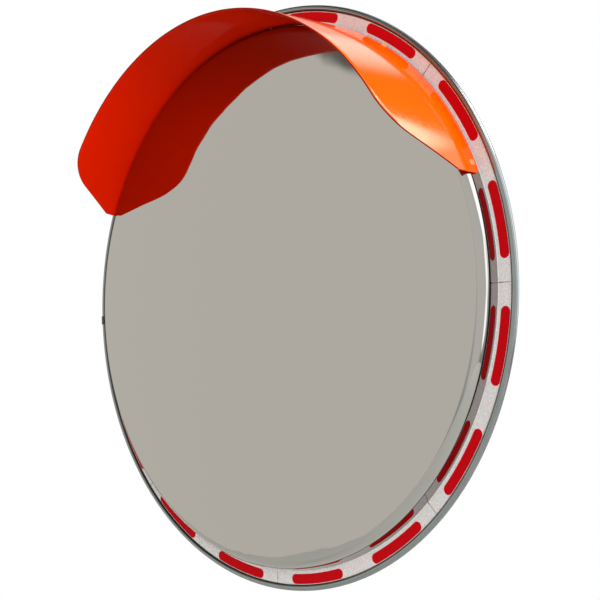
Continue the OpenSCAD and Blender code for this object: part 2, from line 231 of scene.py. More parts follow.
def make_object(name, bm, material, sharp=35):
    """Makes an object of a bmesh and frees it. Edges over the sharp angle stay crisp."""
    bmesh.ops.recalc_face_normals(bm, faces=bm.faces)
    for face in bm.faces:
        face.smooth = True
    limit = math.radians(sharp)
    for edge in bm.edges:
        edge.smooth = len(edge.link_faces) != 2 or edge.calc_face_angle() < limit
    mesh = bpy.data.meshes.new(name)
    bm.to_mesh(mesh)
    bm.free()
    piece = bpy.data.objects.new(name, mesh)
    bpy.context.scene.collection.objects.link(piece)
    for item in material if isinstance(material, (list, tuple)) else [material]:
        mesh.materials.append(item)
    return piece


def bridge(bm, ring_a, ring_b, closed=True, material=0):
    """Quads between two rows of vertices."""
    count = len(ring_a) if closed else len(ring_a) - 1
    for i in range(count):
        j = (i + 1) % len(ring_a)
        corners = [ring_a[i], ring_a[j], ring_b[j], ring_b[i]]
        unique = list(dict.fromkeys(corners))
        if len(unique) > 2:
            bm.faces.new(unique).material_index = material


def cap_ends(bm, rings):
    """A face over the first and the last of a row of rings."""
    bm.faces.new(rings[0])
    bm.faces.new(list(reversed(rings[-1])))


def lathe(bm, profile, segments, start=0.0, sweep=2 * math.pi):
    """Turns a closed outline of (radius, height) points about the mirror's axis."""
    whole = sweep == 2 * math.pi
    columns = segments if whole else segments + 1
    poles = {}
    rings = []
    for i in range(columns):
        angle = start + sweep * i / segments
        ring = []
        for k, (radius, height) in enumerate(profile):
            if radius < AXIS_NEAR:
                if k not in poles:
                    poles[k] = bm.verts.new(head_point(0, 0, height))
                ring.append(poles[k])
            else:
                ring.append(bm.verts.new(head_point(radius, angle, height)))
        rings.append(ring)
    for i in range(segments):
        bridge(bm, rings[i], rings[(i + 1) % columns])
    if not whole:
        cap_ends(bm, rings)


BODY_OF = {node: body for body, held in frame["record"]["behaviour"]["bodies"].items()
           for node in held}
SLOT_OF = {part["node"]: part["material_slot"] for part in frame["record"]["subparts"]}


def stand_for(piece, node):
    """Rides a piece on the body of the CAD node that it replaces, and hides the node."""
    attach(piece, BODY_OF[node])
    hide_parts(node)


# ---------------------------------------------------------------- material helpers

def feed(tree, socket, value):
    """Gives a socket a value, or links it where the value is another node's output."""
    if hasattr(value, "is_linked"):
        tree.links.new(value, socket)
    else:
        socket.default_value = value


def colour_mix(tree, factor, a, b):
    node = tree.nodes.new("ShaderNodeMix")
    node.data_type = "RGBA"
    for name, value in (("Factor", factor), ("A", a), ("B", b)):
        feed(tree, node.inputs[name], value)
    return node.outputs["Result"]


class Nodes:
    """A material's node tree with short calls for the nodes that the finishes need."""

    def __init__(self, name):
        self.material = bpy.data.materials.new(name)
        self.material.use_nodes = True
        self.tree = self.material.node_tree
        self.shader = self.tree.nodes["Principled BSDF"]
        self.coord = self.tree.nodes.new("ShaderNodeTexCoord").outputs["Object"]

    def set(self, **values):
        for key, value in values.items():
            self.shader.inputs[key.replace("_", " ")].default_value = value

    def link(self, source, target):
        self.tree.links.new(source, target)

    def math(self, operation, a, b=0.0, c=0.0, clamp=False):
        node = self.tree.nodes.new("ShaderNodeMath")
        node.operation = operation
        node.use_clamp = clamp
        for socket, value in zip(node.inputs, (a, b, c)):
            feed(self.tree, socket, value)
        return node.outputs[0]

    def noise(self, scale, detail, rough, vector=None):
        """Noise of a scale per metre, from 0 to 1."""
        node = self.tree.nodes.new("ShaderNodeTexNoise")
        node.inputs["Scale"].default_value = scale
        node.inputs["Detail"].default_value = detail
        node.inputs["Roughness"].default_value = rough
        self.link(vector or self.coord, node.inputs["Vector"])
        return node.outputs["Fac"]

    def cells(self, scale, output="Distance"):
        node = self.tree.nodes.new("ShaderNodeTexVoronoi")
        node.inputs["Scale"].default_value = scale
        self.link(self.coord, node.inputs["Vector"])
        return node.outputs[output]

    def stretch(self, x, y, z):
        node = self.tree.nodes.new("ShaderNodeMapping")
        node.inputs["Scale"].default_value = (x, y, z)
        self.link(self.coord, node.inputs["Vector"])
        return node.outputs["Vector"]

    def ramp(self, source, *stops):
        """stops are (position, colour or grey)."""
        node = self.tree.nodes.new("ShaderNodeValToRGB")
        ramp = node.color_ramp
        while len(ramp.elements) < len(stops):
            ramp.elements.new(0.5)
        for element, (position, colour) in zip(ramp.elements, stops):
            element.position = position
            element.color = colour if isinstance(colour, tuple) else (colour, colour, colour, 1)
        self.link(source, node.inputs["Fac"])
        return node.outputs["Color"]

    def mix(self, factor, a, b):
        return colour_mix(self.tree, factor, a, b)

    def bump(self, height, strength, distance):
        node = self.tree.nodes.new("ShaderNodeBump")
        node.inputs["Strength"].default_value = strength
        node.inputs["Distance"].default_value = distance
        self.link(height, node.inputs["Height"])
        return node.outputs["Normal"]

    def use(self, **sources):
        for key, source in sources.items():
            self.link(source, self.shader.inputs[key.replace("_", " ")])

    def separate(self):
        """X and Z of the object coordinates."""
        node = self.tree.nodes.new("ShaderNodeSeparateXYZ")
        self.link(self.coord, node.inputs[0])
        return node.outputs["X"], node.outputs["Z"]

    def length(self, a, b):
        squares = self.math("ADD", self.math("MULTIPLY", a, a), self.math("MULTIPLY", b, b))
        return self.math("SQRT", squares)

    def axis_radius(self):
        """Distance from the mirror's axis."""
        return self.length(*self.separate())

    def clock_angle(self):
        """Angle about the mirror's axis, clockwise from the top."""
        return self.math("ARCTAN2", *self.separate())


def scaled(colour, share):
    return tuple(c * share for c in colour[:3]) + (1,)


# ---------------------------------------------------------------- materials

def mirror_material():
    """Mirror-polished steel: a faint wave in the pressing, fine polishing marks and dust, and
    painted shade that darkens the side wall.
    """
    n = Nodes("mirror_steel")
    n.set(Metallic=1.0)
    # painted shade: the side wall takes a darker, browner copy of the dome's steel colour
    dome, side = (0.46, 0.453, 0.437, 1), (0.4, 0.38, 0.37, 1)
    change = 1 * MM
    outward = n.math("SUBTRACT", n.axis_radius(), WALL_TOP_R - change)
    wall_shade = n.math("DIVIDE", outward, change, clamp=True)
    n.use(Base_Color=n.mix(wall_shade, dome, side))
    dust = n.noise(240, 6, 0.7)
    n.use(Roughness=n.ramp(dust, (0.35, 0.015), (0.75, 0.05)))
    wave = n.noise(9, 2, 0.4)
    n.use(Normal=n.bump(wave, 0.5, 1.6 * MM))
    return n.material


def mark_mask(n, radius, angle):
    """1 on the printed marks, which are bars with round ends, 0 elsewhere."""
    turns = n.math("DIVIDE", n.math("ADD", angle, 2 * math.pi), MARK_STEP)
    along = n.math("MULTIPLY", n.math("SUBTRACT", n.math("FRACT", turns), 0.5),
                   MARK_STEP * MARK_R)
    straight = MARK_HALF_L - MARK_HALF_W
    over = n.math("MAXIMUM", n.math("SUBTRACT", n.math("ABSOLUTE", along), straight), 0.0)
    reach = n.length(over, n.math("SUBTRACT", radius, MARK_R))
    inside = n.math("SUBTRACT", MARK_HALF_W + MARK_BLUR / 2, reach)
    return n.math("DIVIDE", inside, MARK_BLUR, clamp=True)


def lattice_mask(n, radius, angle):
    """1 on the two sets of slanted lines between the film's cells, fading to 0 beside them."""
    sharpness, half_line = 16, 1 / 16
    lattice = 0.0
    for lean in (-1, 1):
        across = n.math("ADD", n.math("MULTIPLY", angle, MARK_R), n.math("MULTIPLY", radius, lean))
        cell = n.math("FRACT", n.math("DIVIDE", across, TAPE_CELL))
        off_centre = n.math("ABSOLUTE", n.math("SUBTRACT", cell, 0.5))
        line = n.math("MULTIPLY_ADD", off_centre, sharpness, -sharpness * (0.5 - half_line),
                      clamp=True)
        lattice = n.math("MAXIMUM", lattice, line)
    return lattice


def tape_material():
    """White prismatic film with printed red marks that have round ends."""
    n = Nodes("tape_film")
    warm, cool = (0.83, 0.79, 0.77, 1), (0.79, 0.77, 0.79, 1)
    shaded, seam = (0.5, 0.46, 0.48, 1), (0.5, 0.48, 0.49, 1)
    red_dark, red_light = (0.46, 0.0, 0.002, 1), (0.58, 0.004, 0.01, 1)
    radius, angle = n.axis_radius(), n.clock_angle()
    speckle = n.noise(420, 5, 0.8)
    white = n.mix(n.noise(45, 3, 0.5), warm, cool)
    white = n.mix(0.18, white, n.cells(430, "Color"))
    shade = n.ramp(speckle, (0.4, 0.0), (0.66, 1.0))
    white = n.mix(n.math("MULTIPLY", shade, 0.6), white, shaded)
    lattice = lattice_mask(n, radius, angle)
    white = n.mix(n.math("MULTIPLY", lattice, 0.5), white, seam)
    red = n.mix(speckle, red_dark, red_light)
    n.use(Base_Color=n.mix(mark_mask(n, radius, angle), white, red))
    n.set(Roughness=0.3, Specular_IOR_Level=0.02)
    n.use(Normal=n.bump(n.cells(900), 0.25, 0.1 * MM))
    return n.material


def band_material(name, bright, dull):
    """Rolled steel: drawn streaks along it, and painted shade in the crevice where its lip meets
    the tape.
    """
    n = Nodes(name)
    n.set(Metallic=1.0)
    # painted shade: the band darkens towards its inner lip, where the crevice by the tape lies in
    # shade
    shade_colour = (0.06, 0.057, 0.055, 1)
    shade_from, shade_width = BAND_C - 1.1 * MM, 1.5 * MM
    inward = n.math("SUBTRACT", shade_from, n.axis_radius())
    painted_shade = n.math("DIVIDE", inward, shade_width, clamp=True)
    unshaded = n.mix(n.noise(40, 4, 0.6), bright, dull)
    n.use(Base_Color=n.mix(painted_shade, unshaded, shade_colour))
    streak = n.noise(60, 5, 0.6)
    n.use(Roughness=n.ramp(streak, (0.3, 0.12), (0.7, 0.22)))
    n.use(Normal=n.bump(n.noise(500, 3, 0.6), 0.08, 0.2 * MM))
    return n.material


def visor_material(name, colour, gloss, tint, ior=1.5, painted_shade=0.0):
    """Moulded orange sheet: slightly uneven colour, long soft waves and fine scuffs.

    The last argument is the share of colour lost to painted shade high under the visor, darker
    towards the top.
    """
    n = Nodes(name)
    shade_colour = (0.1, 0.006, 0.004, 1)
    shade_low, shade_high, shade_waver = 0.335, 0.42, 0.05        # heights, in metres
    base = n.mix(n.noise(7, 3, 0.5), colour, scaled(colour, 0.9))
    # painted shade: the colour darkens towards the top, high under the visor
    if painted_shade:
        height = n.separate()[1]
        waver = n.math("MULTIPLY", n.noise(11, 4, 0.6), shade_waver)
        shaded_share = n.ramp(n.math("ADD", height, waver), (shade_low, 0.0), (shade_high, painted_shade))
        base = n.mix(shaded_share, base, shade_colour)
    n.use(Base_Color=base)
    n.set(Specular_IOR_Level=gloss, Specular_Tint=tint, IOR=ior)
    n.use(Roughness=n.ramp(n.noise(160, 5, 0.7), (0.35, 0.06), (0.75, 0.13)))
    wave = n.noise(14, 2, 0.4)
    n.use(Normal=n.bump(wave, 0.1, 0.8 * MM))
    return n.material


def edge_wear_and_highlight(n):
    """1 on outer edges, where the finish has been rubbed off and where painted highlight brightens
    them, 0 elsewhere.
    """
    geometry = n.tree.nodes.new("ShaderNodeNewGeometry")
    rubbed_and_highlit = n.math("ADD", geometry.outputs["Pointiness"],
                    n.math("MULTIPLY", n.noise(180, 4, 0.7), 0.06))
    return n.ramp(rubbed_and_highlit, (0.545, 0.0), (0.6, 1.0))


def painted_material():
    """Light grey powder coat: orange peel, faint rain streaks and dust."""
    n = Nodes("back_paint")
    dark, light = (0.47, 0.485, 0.495, 1), (0.55, 0.56, 0.565, 1)
    rain, dust = (0.3, 0.29, 0.27, 1), (0.36, 0.35, 0.33, 1)
    base = n.mix(n.noise(5, 4, 0.5), dark, light)
    streak = n.ramp(n.noise(26, 5, 0.6, vector=n.stretch(1, 1, 0.1)), (0.5, 0.0), (0.8, 1.0))
    base = n.mix(n.math("MULTIPLY", streak, 0.22), base, rain)
    specks = n.ramp(n.noise(420, 3, 0.7), (0.62, 0.0), (0.72, 1.0))
    base = n.mix(n.math("MULTIPLY", specks, 0.3), base, dust)
    n.use(Base_Color=base)
    n.set(Specular_IOR_Level=0.4)
    n.use(Roughness=n.ramp(streak, (0.0, 0.34), (1.0, 0.55)))
    n.use(Normal=n.bump(n.noise(520, 2, 0.5), 0.18, 0.3 * MM))
    return n.material


def galvanised_material():
    """Hot-dip zinc: spangle of cells with their own grey and gloss, dull bloom, and bright edges
    that are partly rubbed wear and partly painted highlight.
    """
    n = Nodes("galvanised")
    n.set(Metallic=1.0)
    dark, light = (0.42, 0.44, 0.46, 1), (0.62, 0.64, 0.66, 1)
    dull, rubbed_and_highlit = (0.36, 0.37, 0.38, 1), (0.78, 0.79, 0.8, 1)
    cell = n.cells(120, "Color")
    base = n.ramp(cell, (0.15, dark), (0.85, light))
    bloom = n.ramp(n.noise(34, 5, 0.65), (0.5, 0.0), (0.72, 1.0))
    base = n.mix(n.math("MULTIPLY", bloom, 0.45), base, dull)
    # bright edges: partly rubbed wear, partly painted highlight
    base = n.mix(edge_wear_and_highlight(n), base, rubbed_and_highlit)
    n.use(Base_Color=base)
    rough = n.math("ADD", n.math("MULTIPLY", cell, 0.2), n.math("MULTIPLY", bloom, 0.15))
    n.use(Roughness=n.math("ADD", rough, 0.24))
    n.use(Normal=n.bump(n.noise(260, 4, 0.6), 0.2, 0.3 * MM))
    return n.material


def cast_material():
    """Sand-cast aluminium under thin grey paint: coarse grain, pits, and bright edges that are
    partly rubbed wear and partly painted highlight.
    """
    n = Nodes("cast_grey")
    n.set(Metallic=0.85)
    dark, light = (0.2, 0.205, 0.215, 1), (0.31, 0.32, 0.33, 1)
    pitted, rubbed_and_highlit = (0.09, 0.09, 0.095, 1), (0.6, 0.61, 0.62, 1)
    grain = n.noise(900, 5, 0.75)
    pits = n.ramp(n.cells(700), (0.06, 1.0), (0.16, 0.0))
    base = n.mix(grain, dark, light)
    base = n.mix(n.math("MULTIPLY", pits, 0.6), base, pitted)
    # bright edges: partly rubbed wear, partly painted highlight
    base = n.mix(edge_wear_and_highlight(n), base, rubbed_and_highlit)
    n.use(Base_Color=base)
    n.use(Roughness=n.ramp(grain, (0.3, 0.42), (0.7, 0.6)))
    height = n.math("SUBTRACT", grain, n.math("MULTIPLY", pits, 0.8))
    n.use(Normal=n.bump(height, 0.35, 0.3 * MM))
    return n.material


def zinc_material():
    """Bright zinc plating with a faint yellow and blue passivation and a few dull spots."""
    n = Nodes("zinc")
    n.set(Metallic=1.0)
    yellow, blue, dull = (0.74, 0.72, 0.62, 1), (0.62, 0.66, 0.7, 1), (0.42, 0.41, 0.38, 1)
    base = n.mix(n.noise(70, 3, 0.5), yellow, blue)
    spots = n.ramp(n.noise(300, 5, 0.7), (0.55, 0.0), (0.72, 1.0))
    n.use(Base_Color=n.mix(n.math("MULTIPLY", spots, 0.5), base, dull))
    n.use(Roughness=n.ramp(spots, (0.0, 0.2), (1.0, 0.45)))
    n.use(Normal=n.bump(n.noise(1400, 3, 0.6), 0.12, 0.1 * MM))
    return n.material


def rubber_material(name, colour):
    """Dark matt rubber or friction fibre, with fine grain and paler dusty patches."""
    n = Nodes(name)
    n.use(Base_Color=n.mix(n.noise(200, 4, 0.6), colour, scaled(colour, 1.6)))
    n.use(Roughness=n.ramp(n.noise(150, 4, 0.6), (0.3, 0.6), (0.7, 0.8)))
    n.use(Normal=n.bump(n.noise(1800, 3, 0.7), 0.3, 0.2 * MM))
    return n.material


MIRROR = mirror_material()
TAPE = tape_material()
BAND = band_material("rim_steel", (0.33, 0.355, 0.36, 1), (0.25, 0.27, 0.275, 1))
# painted shade: the clip gets a near-black copy of the band's steel, for the shade it sits in
CLIP_SHADED = band_material("clip_steel_shaded", (0.13, 0.14, 0.135, 1), (0.1, 0.105, 0.1, 1))
RED_GLOSS = (1.0, 0.3, 0.1, 1)
VISOR_OUTER = visor_material("visor_outer", (0.95, 0.097, 0.0, 1), 0.5, (1.0, 0.7, 0.5, 1))
# painted shade: the inner face is a darker, redder copy of the outer orange, darkened further
# towards the top
VISOR_INNER_SHADED = visor_material("visor_inner_shaded", (0.82, 0.0145, 0.0, 1), 0.3, RED_GLOSS, ior=1.07,
                             painted_shade=0.3)
# painted shade: the front edge is a dark copy of the orange, for the shade on the sheet's cut edge
VISOR_EDGE_SHADED = visor_material("visor_edge_shaded", (0.3, 0.008, 0.0, 1), 0.3, RED_GLOSS, ior=1.2)
RIVET = visor_material("rivet_paint", (0.97, 0.27, 0.07, 1), 0.5, (1.0, 0.9, 0.8, 1))
BACK = painted_material()
GALVANISED = galvanised_material()
CAST = cast_material()
ZINC = zinc_material()
FIBRE = rubber_material("friction_fibre", (0.035, 0.034, 0.032, 1))
RUBBER = rubber_material("rubber", (0.018, 0.018, 0.018, 1))

SLOT_MATERIALS = {
    "mirror_steel": MIRROR, "tape_film": TAPE, "rim_steel": BAND, "visor_orange": VISOR_OUTER,
    "back_paint": BACK, "galvanised": GALVANISED, "cast_grey": CAST, "zinc": ZINC,
    "friction_fibre": FIBRE, "rubber": RUBBER,
}


def finish_cad_nodes():
    """Gives every CAD node its slot's material."""
    for part in frame["record"]["subparts"]:
        piece = nodes[part["node"]]
        piece.data.materials.clear()
        piece.data.materials.append(SLOT_MATERIALS[part["material_slot"]])


# ---------------------------------------------------------------- pieces of the head

def dish_outline():
    """Closed outline of the mirror sheet as (radius, height), front first, then the back."""
    fillet_steps, shoulder_steps, dome_steps = 8, 18, 60
    lean = math.asin(SHOULDER_C / (DOME_R - SHOULDER_R))       # of the dome's edge
    wall_lean = math.degrees(WALL_LEAN)
    dome_c = SHOULDER_H - (DOME_R - SHOULDER_R) * math.cos(lean)
    path = [(FLANGE_R, 0), (FILLET_C + FILLET_R, 0)]
    path += arc(FILLET_C, FILLET_R, FILLET_R, 270, 180 + wall_lean, fillet_steps)
    path += arc(SHOULDER_C, SHOULDER_H, SHOULDER_R, wall_lean, 90 - math.degrees(lean),
                shoulder_steps)
    for i in range(1, dome_steps + 1):
        a = lean * (1 - i / dome_steps)
        path.append((DOME_R * math.sin(a), dome_c + DOME_R * math.cos(a)))
    return sheet_outline(path, DISH_T)


def build_dish():
    columns = 360
    bm = bmesh.new()
    lathe(bm, dish_outline(), columns)
    dish = make_object("mirror_sheet", bm, MIRROR, sharp=50)
    stand_for(dish, "mirror_dish")


def film_side(height):
    """Points of the film at a height over the flange, then up the fillet at the wall's foot."""
    flat = [(r, height) for r in (TAPE_OUT, 0.5 * (TAPE_OUT + TAPE_IN), FILLET_C)]
    return flat + arc(FILLET_C, FILLET_R, FILLET_R - height, 270 - TAPE_LIP_TURN,
                      270 - TAPE_LIP_TURN * TAPE_LIP, TAPE_LIP - 1)


def build_tapes():
    """Lengths of film whose crinkled inner edge turns up the fillet."""
    columns = 96
    fine, middling, long = TAPE_WAVES
    outline = film_side(TAPE_LIFT) + film_side(TAPE_LIFT + TAPE_T)[::-1]
    step = 2 * math.pi / TAPE_COUNT
    for i in range(TAPE_COUNT):
        bm = bmesh.new()
        rings = []
        for c in range(columns + 1):
            angle = i * step + TAPE_SEAM / 2 + (step - TAPE_SEAM) * c / columns
            wrinkle = (math.sin(angle * fine)
                       + math.sin(angle * middling + 1) * math.sin(angle * long))
            ring = []
            for r, h in outline:
                edge = min(max((FILLET_C - r) / (0.9 * FILLET_R), 0), 1)
                lifted = h + abs(TAPE_CRINKLE * wrinkle) * edge
                ring.append(bm.verts.new(head_point(r, angle, lifted)))
            rings.append(ring)
        for a, b in zip(rings, rings[1:]):
            bridge(bm, a, b)
        cap_ends(bm, rings)
        film = make_object(f"tape_film_{i + 1}", bm, TAPE, sharp=60)
        stand_for(film, f"tape_{i + 1}")


def visor_front(s):
    """Depth of the visor's front edge at s round from its middle."""
    length = VISOR_IN * VISOR_HALF
    rise = math.tan(VISOR_SLOPE)
    round_from = (length - (VISOR_DEPTH - VISOR_END) / rise
                  - VISOR_ROUND * math.tan(VISOR_SLOPE / 2))
    round_to = round_from + VISOR_ROUND * math.sin(VISOR_SLOPE)
    if s < round_from:
        return VISOR_DEPTH
    if s < round_to:
        return VISOR_DEPTH - VISOR_ROUND + math.sqrt(VISOR_ROUND ** 2 - (s - round_from) ** 2)
    return VISOR_END + (length - s) * rise


def visor_back(s):
    """Depth of the visor's root, with a small round corner at each end."""
    u = VISOR_CORNER - (VISOR_IN * VISOR_HALF - s)
    if u <= 0:
        return VISOR_ROOT
    return VISOR_ROOT + VISOR_CORNER - math.sqrt(VISOR_CORNER ** 2 - u * u)


def visor_point(angle, depth, radius):
    """A point of the visor, which closes in and rises towards its front edge."""
    point = head_point(radius - VISOR_CLOSE * depth, angle + VISOR_TURN, depth)
    point.z += VISOR_LIFT * depth
    return point


def build_visor():
    """Bent sheet with eased edges; its inner face and front edge have darker materials of their
    own, which are painted shade.
    """
    columns, rows, edge = 220, 22, VISOR_EASE
    inner_face, front_edge = 1, 2
    bm = bmesh.new()
    loops = []
    for i in range(columns + 1):
        a = VISOR_HALF * math.sin(math.pi * (i / columns - 0.5))
        s = abs(a) * VISOR_IN
        d0, d1 = visor_back(s), visor_front(s)
        spots = [(d0 + edge + (d1 - d0 - 2 * edge) * k / rows, 0.0) for k in range(rows + 1)]
        spots += [(d1, edge), (d1, VISOR_T - edge)]
        spots += [(d, VISOR_T) for d, _ in reversed(spots[:rows + 1])]
        spots += [(d0, VISOR_T - edge), (d0, edge)]
        loops.append([bm.verts.new(visor_point(a, d, VISOR_IN + out)) for d, out in spots])
    for a, b in zip(loops, loops[1:]):
        bridge(bm, a, b)
    cap_ends(bm, loops)
    index = {v: k for loop in loops for k, v in enumerate(loop)}
    for face in bm.faces:
        places = [index[v] for v in face.verts]
        if max(places) <= rows:
            face.material_index = inner_face
        elif max(places) <= rows + 3 and min(places) >= rows:
            face.material_index = front_edge
    visor = make_object("visor_sheet", bm, [VISOR_OUTER, VISOR_INNER_SHADED, VISOR_EDGE_SHADED], sharp=50)
    stand_for(visor, "visor")


def band_outline():
    """Closed C-section of the rim band, open towards the mirror, with fine rolled grooves."""
    outer_steps, inner_steps = 120, 40
    middle = -STACK_T / 2
    slot = STACK_T / 2 + BAND_SLOT_GAP
    out, inn = BAND_R, BAND_R - BAND_T
    lip_out = math.degrees(math.asin(slot / out))
    lip_in = math.degrees(math.asin(slot / inn))
    outline = []
    for i in range(outer_steps + 1):
        turn = -180 + lip_out + (360 - 2 * lip_out) * i / outer_steps
        groove = sum(math.exp(-((turn - at) / BAND_GROOVE_W) ** 2) for at in BAND_GROOVES)
        outline.append(on_circle(BAND_C, middle, out - BAND_GROOVE_H * groove, turn))
    return outline + arc(BAND_C, middle, inn, 180 - lip_in, -180 + lip_in, inner_steps)


def build_band():
    columns = 420
    bm = bmesh.new()
    gap = BAND_GAP / BAND_C
    lathe(bm, band_outline(), columns, BAND_SPLIT + gap / 2, 2 * math.pi - gap)
    band = make_object("band_ring", bm, BAND)
    stand_for(band, "rim_band")


def build_clip():
    """Spring clip that is snapped over the joint of the band, with eased edges."""
    columns, outer_steps, inner_steps, sharp = 12, 40, 36, math.radians(50)
    bm = bmesh.new()
    inner = BAND_R + CLIP_GAP
    outer = inner + CLIP_T
    stop_in = 180 - math.degrees(math.acos(CLIP_OPEN / inner))
    stop_out = 180 - math.degrees(math.acos(CLIP_OPEN / outer))
    half = 0.5 * CLIP_L / (RING_R - BAND_R)
    outline = arc(BAND_C, -STACK_T / 2, outer, -stop_out, stop_out, outer_steps)
    outline += arc(BAND_C, -STACK_T / 2, inner, stop_in, -stop_in, inner_steps)
    lathe(bm, outline, columns, BAND_SPLIT - half, 2 * half)
    edges = [e for e in bm.edges if len(e.link_faces) == 2 and e.calc_face_angle() > sharp]
    bmesh.ops.bevel(bm, geom=edges, offset=CLIP_EASE, segments=2, affect="EDGES")
    stand_for(make_object("joint_clip", bm, CLIP_SHADED), "band_clip")


def rivet_outline(seat):
    """(radius, height) from the head's top to the bulb's tip, and how many rings are painted."""
    dome = seat + RIVET_RIM_H + RIVET_RIM_EASE
    head = [(0, dome + RIVET_DOME_H)]
    head += [(RIVET_DOME_R * math.sin(t), dome + RIVET_DOME_H * math.cos(t))
             for t in [math.radians(10 * k) for k in range(1, 10)]]
    shank = [(RIVET_R, seat + RIVET_RIM_H), (RIVET_R, seat), (RIVET_SHANK_R, seat),
             (RIVET_SHANK_R, RIVET_BULB), (RIVET_BULB_R, RIVET_BULB - RIVET_BULB_EASE),
             (RIVET_BULB_R - RIVET_BULB_EASE, RIVET_BULB - RIVET_BULB_H),
             (0, RIVET_BULB - RIVET_BULB_H - RIVET_BULB_EASE)]
    return head + shank, len(head)


def build_rivets():
    """Round rivet heads with a thin rim, on shanks that end in a bulb inside."""
    columns, plain = 32, 1
    bm = bmesh.new()
    for angle in RIVET_ANGLES:
        turned = angle + VISOR_TURN
        drop = VISOR_CLOSE - VISOR_LIFT * math.cos(turned)
        lean = math.atan(drop)
        seat = (VISOR_IN + VISOR_T - WALL_R - drop * RIVET_DEPTH) * math.cos(lean) + RIVET_GAP
        profile, painted = rivet_outline(seat)
        out = Vector((math.sin(turned), 0, math.cos(turned))) * math.cos(lean)
        out.y = -math.sin(lean)
        side = Vector((math.cos(turned), 0, -math.sin(turned))).cross(out)
        third = out.cross(side)
        origin = head_point(WALL_R, turned, RIVET_DEPTH)
        top = bm.verts.new(origin + out * profile[0][1])
        low = bm.verts.new(origin + out * profile[-1][1])
        rings = []
        for radius, height in profile[1:-1]:
            spokes = [side * math.cos(t) + third * math.sin(t)
                      for t in [2 * math.pi * i / columns for i in range(columns)]]
            rings.append([bm.verts.new(origin + out * height + radius * spoke)
                          for spoke in spokes])
        for k, (a, b) in enumerate(zip(rings, rings[1:])):
            bridge(bm, a, b, material=plain if k > painted else 0)
        for i in range(columns):
            j = (i + 1) % columns
            bm.faces.new([top, rings[0][i], rings[0][j]])
            bm.faces.new([low, rings[-1][j], rings[-1][i]]).material_index = plain
    rivets = make_object("rivet_heads", bm, [RIVET, CAST])
    stand_for(rivets, "visor_rivets")


# ---------------------------------------------------------------- pieces of the back

def build_back_shell():
    """Pressed back plate: rounded bends and two raised ribs, as one smooth sheet."""
    columns, bend_steps = 240, 12
    edge = FLANGE_R - BACK_BRIM
    foot = edge - (BACK_DEPTH + BACK_TOP) / math.tan(math.radians(BACK_SLOPE))
    path = [(FLANGE_R, BACK_TOP), (edge + BACK_FLAT, BACK_TOP)]
    path += arc(edge, BACK_TOP - BACK_BEND, BACK_BEND, 90, 90 + BACK_SLOPE, bend_steps)
    path += arc(foot - BACK_BEND, -BACK_DEPTH + BACK_BEND, BACK_BEND, BACK_SLOPE - 90, -90,
                bend_steps)
    for middle in RIB_RADII:
        for i in range(RIB_STEPS + 1):
            share = i / RIB_STEPS
            raised = RIB_H * (1 - math.cos(2 * math.pi * share)) / 2
            path.append((middle + RIB_W * (0.5 - share), -BACK_DEPTH - raised))
        path.append((middle - RIB_FLAT, -BACK_DEPTH))
    path.append((0, -BACK_DEPTH))
    bm = bmesh.new()
    lathe(bm, sheet_outline(path, BACK_T), columns)
    stand_for(make_object("back_shell", bm, BACK, sharp=50), "back_plate")


def refine(node, bevel, fillet=None):
    """A copy of a CAD node with its flats merged, its edges rounded and its corners filleted."""
    weld, sliver = 0.001 * MM, 0.01 * MM
    flat, sharp = math.radians(0.5), math.radians(28)
    bm = bmesh.new()
    bm.from_mesh(nodes[node].data)
    bmesh.ops.remove_doubles(bm, verts=bm.verts, dist=weld)
    bmesh.ops.dissolve_limit(bm, angle_limit=flat, verts=bm.verts, edges=bm.edges)
    for inside, width, steps in ((True, fillet or bevel, 4), (False, bevel, 3)):
        edges = [e for e in bm.edges if len(e.link_faces) == 2
                 and e.calc_face_angle() > sharp and e.is_convex != inside]
        bmesh.ops.bevel(bm, geom=edges, offset=width, segments=steps, profile=0.5,
                        affect="EDGES", clamp_overlap=False)
    # Bevels leave slivers where they run out. They go, so that the mesh stays closed.
    bmesh.ops.remove_doubles(bm, verts=bm.verts, dist=sliver)
    bmesh.ops.dissolve_degenerate(bm, edges=bm.edges, dist=sliver)
    stand_for(make_object(f"{node}_finished", bm, SLOT_MATERIALS[SLOT_OF[node]], sharp=25), node)


def spin(bm, spot, columns, outline, closed=False):
    """Turns outline(angle), rows of (radius, height), about a fastener's own axis."""
    origin, axis, side = spot
    third = axis.cross(side)
    poles = {}
    rings = []
    for i in range(columns):
        angle = 2 * math.pi * i / columns
        out = side * math.cos(angle) + third * math.sin(angle)
        ring = []
        for k, (radius, height) in enumerate(outline(angle)):
            if radius < AXIS_NEAR:
                if k not in poles:
                    poles[k] = bm.verts.new(origin + axis * height)
                ring.append(poles[k])
            else:
                ring.append(bm.verts.new(origin + axis * height + out * radius))
        rings.append(ring)
    for i in range(columns):
        bridge(bm, rings[i], rings[(i + 1) % columns], closed)


def hex_edge(angle, corner):
    """Reach of a hexagon at an angle, its flat face's radius, and how far its chamfer cuts."""
    flat = corner * math.cos(math.pi / 6)
    reach = flat / math.cos(angle % (math.pi / 3) - math.pi / 6)
    land = HEX_LAND * flat
    return reach, land, max(reach - land, 0) * math.tan(math.pi / 6)


